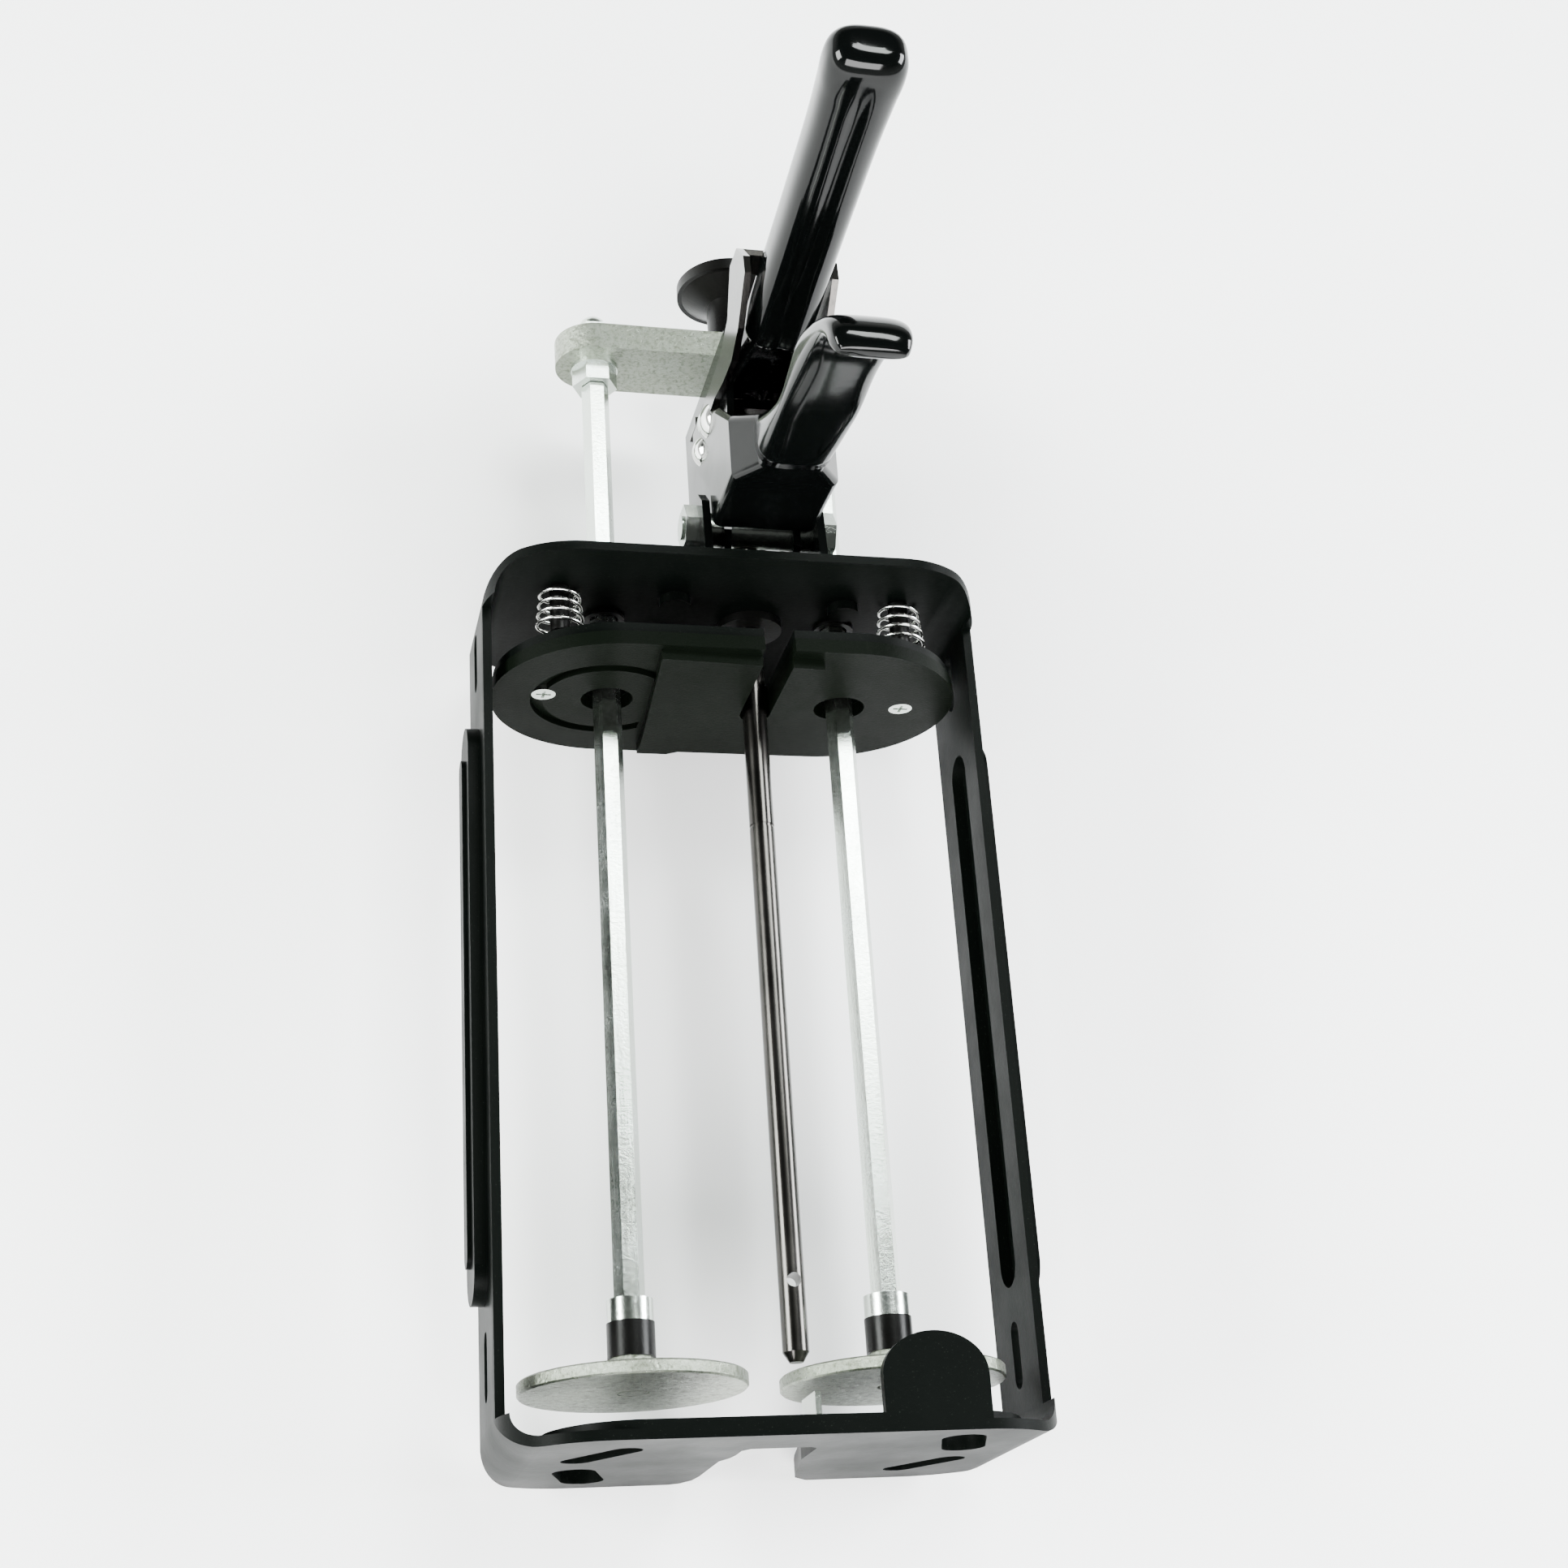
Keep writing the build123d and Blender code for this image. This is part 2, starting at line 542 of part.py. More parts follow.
def bracket():
    """The shoe bolted to the rear plate, whose two ears take the cross bolt."""
    foot = slab(DRIVE_ROD_X - 26, DRIVE_ROD_X + 26, REAR, REAR + 2.1, 18, 52)
    foot = fillet(foot.edges().filter_by(Axis.Y), 4)
    ears = both_sides([(204.7, 26), (222, 26), (228, 34), (228, 52), (224, 56), (204.7, 58)],
                      EAR_INNER, EAR_OUTER)
    shoe = foot + ears
    shoe -= rod_x(CROSS_BOLT_Y, CROSS_BOLT_Z, DRIVE_ROD_X - 30, DRIVE_ROD_X + 30, 3.05)
    for x in (-ROD_X, ROD_X):
        shoe -= rod_y(x, AXIS_Z, REAR - 1, REAR + 4, 7.5)
    shoe -= rod_y(DRIVE_ROD_X, AXIS_Z, REAR - 1, REAR + 4, 6.1)
    for x, z in bracket_bolt_places():
        shoe -= rod_y(x, z, REAR - 1, REAR + 4, 2.1)
    return shoe


def hex_x(y, z, x0, x1, flats):
    """A hexagonal bar along X."""
    return Pos(x0, y, z) * Rot(0, 90, 0) * extrude(
        RegularPolygon(flats / 2, 6, major_radius=False), x1 - x0)


def cross_bolt():
    """The bolt through the ears and cheeks, head on the right."""
    shank = rod_x(CROSS_BOLT_Y, CROSS_BOLT_Z, DRIVE_ROD_X - EAR_OUTER - 4.2, DRIVE_ROD_X + EAR_OUTER,
                  3.0)
    head = hex_x(CROSS_BOLT_Y, CROSS_BOLT_Z, DRIVE_ROD_X + EAR_OUTER, DRIVE_ROD_X + EAR_OUTER + 3.6,
                 10.0)
    return shank + head


def cross_bolt_nut():
    """The nut of the cross bolt, on the left."""
    nut = hex_x(CROSS_BOLT_Y, CROSS_BOLT_Z, DRIVE_ROD_X - EAR_OUTER - 3.6, DRIVE_ROD_X - EAR_OUTER,
                10.0)
    return nut - rod_x(CROSS_BOLT_Y, CROSS_BOLT_Z, DRIVE_ROD_X - 40, DRIVE_ROD_X, 3.0)


def cross_bolt_spacers():
    """Spacer tubes on the cross bolt: two between cheek and ear, one between the cheeks."""
    solids = []
    for x0, x1 in ((-EAR_INNER, -CHEEK_OUTER), (-CHEEK_INNER, CHEEK_INNER), (CHEEK_OUTER, EAR_INNER)):
        tube = rod_x(CROSS_BOLT_Y, CROSS_BOLT_Z, DRIVE_ROD_X + x0, DRIVE_ROD_X + x1, 4.2)
        solids.append(tube - rod_x(CROSS_BOLT_Y, CROSS_BOLT_Z, DRIVE_ROD_X - 30, DRIVE_ROD_X + 30, 3.0))
    return group(solids)


def grip_section(z, y_mid, half_x, half_y):
    """The dipped grip's cross-section: an oblong with a groove down its front."""
    place = Pos(DRIVE_ROD_X, FRONT + y_mid, z)
    outline = place * RectangleRounded(2 * half_x, 2 * half_y, 0.82 * half_y)
    groove = place * Pos(0, -half_y) * Ellipse(0.22 * half_x, 0.28 * half_y)
    return outline - groove


def handle_grip():
    """The vinyl grip dipped over the channel, slightly flared below its closed round tip."""
    stations = [(82, 258.8, 8.0, 7.3), (130, 263.0, 8.1, 7.1), (158, 265.2, 8.5, 7.0),
                (167, 266.0, 9.2, 7.0), (171, 266.3, 8.8, 6.4), (173.4, 266.4, 7.4, 5.2),
                (174.2, 266.4, 5.6, 3.8)]
    body = None
    for low, high in zip(stations, stations[1:]):
        piece = loft([grip_section(*low), grip_section(*high)], ruled=True)
        body = piece if body is None else body + piece
    core = loft([section_at(z, half, FRONT + y0, FRONT + y1, 1.2)
                 for z, half, y0, y1 in channel_stations()], ruled=True)
    return body - core


def headed_pin(y, z, radius, head_radius, reach):
    """A pin across the handle plane with a domed head beyond reach on each side."""
    pin = rod_x(y, z, DRIVE_ROD_X - reach, DRIVE_ROD_X + reach, radius)
    heads = [dome_x(DRIVE_ROD_X + side * reach, y, z, head_radius, 2.0, side) for side in (-1, 1)]
    return pin + heads


def trigger_pivot():
    """The bright domed pin that the trigger swings on."""
    return headed_pin(TRIGGER_PIVOT_Y, TRIGGER_PIVOT_Z, 2.5, 4.2, FLANGE_OUTER + 0.05)


# ---------------------------------------------------------------- trigger

def trigger_stations():
    """Height, half width, front and rear of the trigger stamping from foot to tip."""
    return [(56, FLANGE_OUTER, 217.0, 249.5), (66, FLANGE_OUTER, 216.8, 244.5),
            (79, FLANGE_OUTER, 216.2, 234.0), (86, PADDLE_HALF, 215.6, 230.5),
            (104, PADDLE_HALF, 214.8, 221.5), (114, PADDLE_HALF, 214.2, 219.0),
            (129, PADDLE_HALF, 213.6, 223.0), (141, PADDLE_HALF, 213.0, 219.0)]


def trigger_frame():
    """The trigger stamping: a channel that straddles the cheeks and narrows to the finger paddle."""
    body = None
    stations = trigger_stations()
    for low, high in zip(stations, stations[1:]):
        ends = (low, high)
        bend = FLANGE + 0.9
        outer = loft([section_at(z, half, FRONT + y0, FRONT + y1, bend) for z, half, y0, y1 in ends],
                     ruled=True)
        inner = loft([section_at(z, half - FLANGE, FRONT + y0 + FLANGE, FRONT + y1 + 20, 1.6)
                      for z, half, y0, y1 in ends], ruled=True)
        channel = outer - inner
        body = channel if body is None else body + channel
    lobes = both_sides([(226, 57), (238.4, 44.5), (240.6, 42), (245.4, 42), (248.8, 48), (249.4, 57)],
                       FLANGE_OUTER - FLANGE, FLANGE_OUTER)
    body = body + lobes
    body -= rod_x(TRIGGER_PIVOT_Y, TRIGGER_PIVOT_Z, DRIVE_ROD_X - 20, DRIVE_ROD_X + 20, 2.56)
    return body - rod_x(TRIGGER_AXLE_Y, TRIGGER_AXLE_Z, DRIVE_ROD_X - 20, DRIVE_ROD_X + 20, 2.0)


def trigger_axle():
    """The second domed rivet, which carries the roller that pushes the drive plate."""
    return headed_pin(TRIGGER_AXLE_Y, TRIGGER_AXLE_Z, 2.0, 3.6, FLANGE_OUTER)


def trigger_roller():
    """The roller on the trigger axle, between the cheeks."""
    roller = rod_x(TRIGGER_AXLE_Y, TRIGGER_AXLE_Z, DRIVE_ROD_X - 7.2, DRIVE_ROD_X + 7.2, 3.0)
    return roller - rod_x(TRIGGER_AXLE_Y, TRIGGER_AXLE_Z, DRIVE_ROD_X - 8, DRIVE_ROD_X + 8, 2.05)


def trigger_grip():
    """The dipped vinyl cover of the trigger paddle, with its forward-curled tip."""
    stations = [(88, PADDLE_HALF, 215.5, 229.5)] + trigger_stations()[4:]
    cover = None
    for ends in zip(stations, stations[1:]):
        skin = loft([section_at(z, half + VINYL, FRONT + y0 - VINYL, FRONT + y1 + VINYL, 2.4)
                     for z, half, y0, y1 in ends], ruled=True)
        hollow = loft([section_at(z, half - FLANGE - VINYL, FRONT + y0 + FLANGE + VINYL,
                                  FRONT + y1 + 20, 0.6) for z, half, y0, y1 in ends], ruled=True)
        piece = skin - hollow
        cover = piece if cover is None else cover + piece
    tip = prism_x([(FRONT + y, z) for y, z in
                   [(212.0, 140), (218.6, 140), (214.6, 149), (211.6, 154.4), (207.4, 157.6),
                    (203.0, 157.6), (201.2, 154.6), (202.4, 152.2), (205.6, 151.4), (208.6, 148.2)]],
                  DRIVE_ROD_X - PADDLE_HALF - VINYL, DRIVE_ROD_X + PADDLE_HALF + VINYL)
    tip = chamfer(tip.faces().filter_by(Axis.X).edges().filter_by(lambda e: e.center().Z > 141), 1.3)
    return cover + tip - trigger_frame()


# ---------------------------------------------------------------- clutch parts

def drive_plate():
    """The gripping plate that the trigger roller pushes to drive the rod forward."""
    plate = slab(DRIVE_ROD_X - 7.2, DRIVE_ROD_X + 7.2, DRIVE_PLATE_REAR - DRIVE_PLATE, DRIVE_PLATE_REAR,
                 23, 51)
    plate = fillet(plate.edges().filter_by(Axis.Y), 2.5)
    return plate - rod_y(DRIVE_ROD_X, AXIS_Z, FRONT + 200, FRONT + 250, DRIVE_ROD_DIAMETER / 2 + 0.35)


def drive_spring():
    """The drive plate's return spring at its pressed length, round the rod."""
    return coil_y(DRIVE_ROD_X, AXIS_Z, REAR + 3.4, REAR + 26.8, 5.2, 5.2, 1.3, 7)


def lock_plate():
    """The thin locking plate that holds the rod between strokes, with an ear on each side."""
    plate = slab(DRIVE_ROD_X - 7.2, DRIVE_ROD_X + 7.2, LOCK_PLATE_FRONT, LOCK_PLATE_FRONT + LOCK_PLATE,
                 22, 47)
    ears = slab(DRIVE_ROD_X - LEVER_OUTER, DRIVE_ROD_X + LEVER_OUTER, LOCK_PLATE_FRONT,
                LOCK_PLATE_FRONT + LOCK_PLATE, 29.5, 37.5)
    hole = rod_y(DRIVE_ROD_X, AXIS_Z, FRONT + 240, FRONT + 270, DRIVE_ROD_DIAMETER / 2 + 0.6)
    return plate + ears - hole


def lock_spring():
    """The light spring between the locking plate and the back of the handle stamping."""
    return coil_y(DRIVE_ROD_X, AXIS_Z, FRONT + 261.8, FRONT + 264.1, 6.4, 6.4, 0.8, 2)


def release_lever():
    """The zinc-plated release lever: two arms beside the cheeks and a thumb pad behind the handle."""
    outline = [(250.6, 42), (252.4, 37), (253.6, 33.5), (256.6, 33.5), (256.8, 40), (257.0, 56),
               (257.8, 69), (261.2, 78.5), (272.4, 84.5), (272.4, 92), (266.0, 98), (261.0, 98.5),
               (252.2, 88.5), (248.6, 80), (249.0, 70), (250.8, 60), (250.4, 50)]
    arms = both_sides(outline, LEVER_INNER, LEVER_OUTER)
    pad = slab(DRIVE_ROD_X - LEVER_OUTER, DRIVE_ROD_X + LEVER_OUTER, FRONT + 270.8, FRONT + 272.4,
               84.5, 92)
    lever = arms + pad
    return lever - rod_x(LEVER_PIVOT_Y, LEVER_PIVOT_Z, DRIVE_ROD_X - 40, DRIVE_ROD_X + 40, 2.06)


def lever_pins():
    """The short headed pins that the release lever turns on, one in each cheek."""
    solids = []
    for side in (-1, 1):
        x0 = DRIVE_ROD_X + min(side * CHEEK_INNER, side * (LEVER_OUTER + 0.2))
        length = LEVER_OUTER + 0.2 - CHEEK_INNER
        pin = rod_x(LEVER_PIVOT_Y, LEVER_PIVOT_Z, x0, x0 + length, 2.0)
        head = dome_x(DRIVE_ROD_X + side * (LEVER_OUTER + 0.2), LEVER_PIVOT_Y, LEVER_PIVOT_Z, 3.2, 1.2,
                      side)
        solids.append(pin + head)
    return group(solids)


def pieces():
    """Every node of the applicator."""
    return {
        "carriage_frame": carriage_frame(),
        "front_liner": front_liner(),
        "outlet_clip": liner_clip(),
        "outlet_clip_rivets": liner_rivets(),
        "push_rod_bushes": rod_bushes(),
        "drive_rod_bush": drive_bush(),
        "bracket_bolts": bracket_bolts(),
        "bracket_nuts": bracket_nuts(),
        "holder_backing_plate": holder_steel_plate(),
        "holder_moulding": holder_moulding(),
        "holder_screws": holder_screws(),
        "holder_spring_left": holder_spring(-1),
        "holder_spring_right": holder_spring(1),
        "holder_guide_pins": holder_guides(),
        "push_rod_left": push_rod(-ROD_X),
        "push_rod_right": push_rod(ROD_X),
        "piston_disc_left": piston_disc(-ROD_X),
        "piston_disc_right": piston_disc(ROD_X),
        "hub_sleeve_left": hub_sleeve(-ROD_X),
        "hub_sleeve_right": hub_sleeve(ROD_X),
        "hub_collar_left": hub_collar(-ROD_X),
        "hub_collar_right": hub_collar(ROD_X),
        "drive_rod": drive_rod(),
        "drive_rod_collar": drive_rod_collar(),
        "bridge_plate_front": bridge_plate(BRIDGE_FRONT),
        "bridge_plate_rear": bridge_plate(BRIDGE_MIDDLE),
        "bridge_washers": bridge_washers(),
        "bridge_lock_nuts": bridge_lock_nuts(),
        "bridge_dome_nuts": bridge_dome_nuts(),
        "pull_knob": pull_knob(),
        "handle_bracket": bracket(),
        "cross_bolt": cross_bolt(),
        "cross_bolt_nut": cross_bolt_nut(),
        "cross_bolt_spacers": cross_bolt_spacers(),
        "handle_frame": handle_frame(),
        "handle_grip": handle_grip(),
        "trigger_pivot_pin": trigger_pivot(),
        "trigger_frame": trigger_frame(),
        "trigger_axle": trigger_axle(),
        "trigger_roller": trigger_roller(),
        "trigger_grip": trigger_grip(),
        "drive_plate": drive_plate(),
        "drive_spring": drive_spring(),
        "lock_plate": lock_plate(),
        "lock_spring": lock_spring(),
        "release_lever": release_lever(),
        "release_lever_pins": lever_pins(),
    }


def write_pieces():
    """Write one STEP file per node."""
    os.makedirs("parts", exist_ok=True)
    for name, solid in pieces().items():
        export_step(solid, f"parts/{name}.step")


write_pieces()
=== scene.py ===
import json
import math

import bpy
import numpy as np
from mathutils import Matrix, Vector


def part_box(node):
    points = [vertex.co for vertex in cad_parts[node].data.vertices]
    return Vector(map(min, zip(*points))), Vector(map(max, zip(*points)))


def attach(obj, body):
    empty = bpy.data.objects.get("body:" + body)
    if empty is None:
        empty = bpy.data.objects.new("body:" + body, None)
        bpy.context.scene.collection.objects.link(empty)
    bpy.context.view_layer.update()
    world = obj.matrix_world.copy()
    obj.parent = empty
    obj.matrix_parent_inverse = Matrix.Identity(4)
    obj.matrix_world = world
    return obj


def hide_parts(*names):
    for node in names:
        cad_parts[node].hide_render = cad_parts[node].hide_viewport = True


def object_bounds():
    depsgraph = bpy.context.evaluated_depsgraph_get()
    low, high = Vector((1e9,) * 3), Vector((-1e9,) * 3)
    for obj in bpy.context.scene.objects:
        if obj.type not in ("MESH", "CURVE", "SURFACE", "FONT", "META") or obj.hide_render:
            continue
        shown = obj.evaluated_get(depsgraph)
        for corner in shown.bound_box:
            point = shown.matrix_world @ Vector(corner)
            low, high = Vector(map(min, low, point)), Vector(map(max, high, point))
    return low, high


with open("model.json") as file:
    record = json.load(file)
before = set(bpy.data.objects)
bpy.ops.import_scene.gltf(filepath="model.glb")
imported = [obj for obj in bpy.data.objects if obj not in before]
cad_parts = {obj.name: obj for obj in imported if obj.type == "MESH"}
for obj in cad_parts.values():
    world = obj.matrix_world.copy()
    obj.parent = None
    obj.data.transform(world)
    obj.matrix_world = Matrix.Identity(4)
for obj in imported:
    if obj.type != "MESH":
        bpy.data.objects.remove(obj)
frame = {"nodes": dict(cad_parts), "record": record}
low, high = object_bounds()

# Places in the shared frame, metres
MM = 0.001
FRONT = float(low[1])
HANDLE_X = sum(c[0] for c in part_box("drive_rod")) / 2

# Grips: steps between given rows, points round a section and how square the section is
ROW_STEPS = 6
HANDLE_AROUND, HANDLE_SQUARENESS = 72, 0.72
TRIGGER_AROUND, TRIGGER_SQUARENESS = 96, 0.6
GROOVE_DEPTH, GROOVE_REACH = 0.75, 1.6
GROOVE_TOP, GROOVE_FADE = 170.0, 12.0
TROUGH_WALL, TROUGH_FLATNESS = 1.6, 8

# Stage and camera, metres except for the sensor and lens in millimetres
FLOOR_HALF = 6.0
FLOOR_DROP = 0.001
LIGHT_TARGET = (0.0, 0.0, 0.03)
SENSOR_WIDTH = 36.0
LENS = 55.41
CAMERA_PLACE = (-0.12078, FRONT - 0.07285, 0.55395)
CAMERA_RIGHT = (0.97268574, -0.0634834, 0.22327631)
CAMERA_DOWN = (0.03211404, -0.91582333, -0.40029529)


# ---------------------------------------------------------------- node helpers

class Graph:
    """A small builder for a material's node graph."""

    def __init__(self, name):
        self.material = bpy.data.materials.new(name)
        self.material.use_nodes = True
        self.tree = self.material.node_tree
        self.shader = self.tree.nodes["Principled BSDF"]
        self.coord = self.tree.nodes.new("ShaderNodeTexCoord").outputs["Object"]

    def add(self, kind, **sockets):
        node = self.tree.nodes.new(kind)
        for key, value in sockets.items():
            self.put(node.inputs[key.replace("_", " ")], value)
        return node

    def put(self, socket, value):
        if hasattr(value, "is_output"):
            self.tree.links.new(value, socket)
        else:
            socket.default_value = value

    def set(self, **sockets):
        for key, value in sockets.items():
            self.put(self.shader.inputs[key.replace("_", " ")], value)

    def stretch(self, scale):
        node = self.add("ShaderNodeMapping", Vector=self.coord)
        node.inputs["Scale"].default_value = scale
        return node.outputs["Vector"]

    def noise(self, scale, detail=4.0, rough=0.55, vector=None):
        node = self.add("ShaderNodeTexNoise", Vector=vector or self.coord, Scale=scale,
                        Detail=detail, Roughness=rough)
        return node.outputs["Fac"]

    def voronoi(self, scale, vector=None):
        node = self.add("ShaderNodeTexVoronoi", Vector=vector or self.coord, Scale=scale)
        return node.outputs["Distance"]

    def span(self, value, low_in, high_in, low_out, high_out):
        node = self.tree.nodes.new("ShaderNodeMapRange")
        for key, number in zip(("Value", "From Min", "From Max", "To Min", "To Max"),
                               (value, low_in, high_in, low_out, high_out)):
            self.put(node.inputs[key], number)
        return node.outputs["Result"]

    def mix(self, factor, first, second):
        node = self.tree.nodes.new("ShaderNodeMix")
        node.data_type = "RGBA"
        self.put(node.inputs["Factor"], factor)
        for key, value in (("A", first), ("B", second)):
            socket = [s for s in node.inputs if s.name == key and s.type == "RGBA"][0]
            self.put(socket, value if hasattr(value, "is_output") else (*value, 1.0))
        return [s for s in node.outputs if s.type == "RGBA"][0]

    def combine(self, operation, first, second):
        node = self.tree.nodes.new("ShaderNodeMath")
        node.operation = operation
        self.put(node.inputs[0], first)
        self.put(node.inputs[1], second)
        return node.outputs[0]

    def bump(self, height, strength, distance):
        node = self.add("ShaderNodeBump", Height=height, Strength=strength, Distance=distance)
        self.tree.links.new(node.outputs["Normal"], self.shader.inputs["Normal"])


def black_paint():
    """Satin black coat on pressed steel: faint orange peel and a little dust."""
    g = Graph("black_paint")
    peel = g.noise(900.0, 2.0)
    cloud = g.noise(35.0, 5.0)
    specks = g.span(g.noise(2600.0, 1.0), 0.70, 0.76, 0.0, 1.0)
    tone = g.mix(cloud, (0.0006, 0.0010, 0.0008), (0.0014, 0.0020, 0.0016))
    g.set(Base_Color=g.mix(g.combine("MULTIPLY", specks, 0.12), tone, (0.05, 0.06, 0.05)),
          Roughness=g.span(cloud, 0.3, 0.7, 0.36, 0.50), IOR=1.45, Specular_IOR_Level=0.03)
    g.bump(peel, 0.06, 0.0004)
    return g.material


def zinc_plate():
    """Bright zinc plate: clouded yellow-blue passivation, drawn streaks along Y, small stains."""
    g = Graph("zinc_plate")
    cloud = g.noise(60.0, 6.0, 0.65)
    drawn = g.noise(420.0, 4.0, 0.6, g.stretch((1.0, 0.04, 1.0)))
    grain = g.noise(1500.0, 3.0, 0.7)
    stains = g.span(g.noise(240.0, 6.0, 0.7), 0.60, 0.72, 0.0, 1.0)
    tone = g.mix(cloud, (0.50, 0.54, 0.45), (0.56, 0.62, 0.62))
    tone = g.mix(g.combine("MULTIPLY", stains, 0.45), tone, (0.30, 0.32, 0.25))
    tone = g.mix(g.span(drawn, 0.45, 0.75, 0.0, 0.35), tone, (0.45, 0.47, 0.42))
    rough = g.combine("ADD", g.span(cloud, 0.3, 0.7, 0.13, 0.24), g.span(grain, 0.3, 0.7, 0.0, 0.08))
    g.set(Base_Color=tone, Metallic=1.0, Roughness=rough)
    g.bump(g.combine("ADD", drawn, g.combine("MULTIPLY", grain, 0.6)), 0.16, 0.0003)
    return g.material


def sheared_zinc():
    """Zinc over a sheared sheet edge and hot-rolled face: sparkling coarse grain."""
    g = Graph("sheared_zinc")
    grain = g.noise(800.0, 5.0, 0.75)
    cloud = g.noise(80.0, 6.0, 0.7)
    pits = g.span(g.voronoi(500.0), 0.0, 0.25, 0.0, 1.0)
    tone = g.mix(cloud, (0.20, 0.22, 0.16), (0.30, 0.33, 0.29))
    tone = g.mix(g.span(grain, 0.48, 0.66, 0.0, 0.8), tone, (0.08, 0.09, 0.06))
    g.set(Base_Color=tone, Metallic=1.0, Roughness=g.span(grain, 0.3, 0.7, 0.24, 0.44))
    g.bump(g.combine("ADD", grain, g.combine("MULTIPLY", pits, 0.3)), 0.45, 0.0009)
    return g.material


def dark_steel():
    """Hardened steel, burnished along its length with brighter rubbed bands."""
    g = Graph("dark_steel")
    drawn = g.noise(700.0, 5.0, 0.65, g.stretch((1.0, 0.02, 1.0)))
    bands = g.noise(30.0, 5.0, 0.6, g.stretch((0.2, 1.0, 0.2)))
    tone = g.mix(bands, (0.020, 0.019, 0.018), (0.070, 0.066, 0.062))
    tone = g.mix(g.span(drawn, 0.5, 0.8, 0.0, 0.5), tone, (0.012, 0.012, 0.012))
    g.set(Base_Color=tone, Metallic=1.0, Roughness=g.span(bands, 0.3, 0.7, 0.16, 0.28))
    g.bump(drawn, 0.12, 0.0002)
    return g.material


def spring_wire():
    """Bright drawn spring wire."""
    g = Graph("spring_wire")
    grain = g.noise(1800.0, 3.0)
    g.set(Base_Color=g.mix(grain, (0.58, 0.58, 0.55), (0.72, 0.72, 0.70)), Metallic=1.0,
          Roughness=g.span(grain, 0.3, 0.7, 0.16, 0.28))
    return g.material


def bright_rivet():
    """Bright nickel-plated rivet heads with hairline scratches."""
    g = Graph("bright_rivet")
    scratch = g.noise(900.0, 4.0, 0.6, g.stretch((1.0, 0.2, 3.0)))
    g.set(Base_Color=g.mix(scratch, (0.72, 0.72, 0.69), (0.84, 0.84, 0.82)), Metallic=1.0,
          Roughness=g.span(scratch, 0.4, 0.7, 0.08, 0.20))
    return g.material


def black_vinyl():
    """Thick dipped vinyl: deep black, wet gloss, slow waves and fine ripples."""
    g = Graph("black_vinyl")
    waves = g.noise(70.0, 2.0, 0.4)
    fine = g.noise(600.0, 2.0)
    cloud = g.noise(25.0, 4.0)
    g.set(Base_Color=g.mix(cloud, (0.0005, 0.0007, 0.0007), (0.0010, 0.0013, 0.0012)),
          Roughness=g.span(cloud, 0.3, 0.7, 0.07, 0.14), IOR=1.48, Specular_IOR_Level=0.2)
    g.bump(g.combine("ADD", waves, g.combine("MULTIPLY", fine, 0.04)), 0.10, 0.0012)
    return g.material


def black_plastic():
    """Moulded black plastic with a low sheen and light rub marks."""
    g = Graph("black_plastic")
    grain = g.noise(1300.0, 3.0)
    cloud = g.noise(50.0, 5.0)
    g.set(Base_Color=g.mix(cloud, (0.0012, 0.0012, 0.0012), (0.0028, 0.0028, 0.0025)),
          Roughness=g.span(cloud, 0.3, 0.7, 0.26, 0.40), IOR=1.5, Specular_IOR_Level=0.1)
    g.bump(grain, 0.10, 0.0003)
    return g.material


def olive_black_plastic():
    """Fine matte olive-black moulding with spark texture and pale scuffs."""
    g = Graph("olive_black_plastic")
    spark = g.noise(1700.0, 4.0, 0.7)
    cloud = g.noise(40.0, 6.0, 0.6)
    scuff = g.span(g.noise(160.0, 6.0, 0.7, g.stretch((1.0, 1.0, 0.15))), 0.62, 0.75, 0.0, 0.3)
    tone = g.mix(cloud, (0.0008, 0.0013, 0.0008), (0.0020, 0.0032, 0.0019))
    g.set(Base_Color=g.mix(scuff, tone, (0.008, 0.010, 0.007)),
          Roughness=g.span(cloud, 0.3, 0.7, 0.36, 0.50), IOR=1.45, Specular_IOR_Level=0.02)
    g.bump(spark, 0.25, 0.0003)
    return g.material


MAKERS = (black_paint, zinc_plate, dark_steel, spring_wire, bright_rivet, black_vinyl,
          black_plastic, olive_black_plastic)
LOOKS = {maker.__name__: maker() for maker in MAKERS}
SHEARED = sheared_zinc()
SHEARED_NODES = {"bridge_plate_front", "bridge_plate_rear", "piston_disc_left",
                 "piston_disc_right"}
BURNISHED_NODES = {"release_lever"}
GLOSSY_NODES = {"trigger_frame", "handle_frame", "handle_bracket"}
DULL_NODES = {"bracket_bolts", "bracket_nuts"}

for row in frame["record"]["subparts"]:
    obj = frame["nodes"][row["node"]]
    look = LOOKS[row["material_slot"]]
    if row["node"] in SHEARED_NODES:
        look = SHEARED
    elif row["node"] in BURNISHED_NODES:
        look = LOOKS["dark_steel"]
    elif row["node"] in GLOSSY_NODES:
        look = LOOKS["black_vinyl"]
    elif row["node"] in DULL_NODES:
        look = LOOKS["black_paint"]
    if not obj.material_slots:
        obj.data.materials.append(look)
    for entry in obj.material_slots:
        entry.material = look


# ---------------------------------------------------------------- dipped vinyl grips

def smooth_rows(rows, steps):
    """Extra rows between the given ones, along a smooth curve through all of them."""
    rows = np.array(rows, dtype=float)
    padded = np.vstack([2 * rows[0] - rows[1], rows, 2 * rows[-1] - rows[-2]])
    result = []
    for i in range(len(rows) - 1):
        a, b, c, d = padded[i:i + 4]
        for t in np.linspace(0.0, 1.0, steps, endpoint=False):
            result.append(b + 0.5 * t * (c - a + t * (2 * a - 5 * b + 4 * c - d
                                                      + t * (3 * (b - c) + d - a))))
    return np.array(result + [rows[-1]])


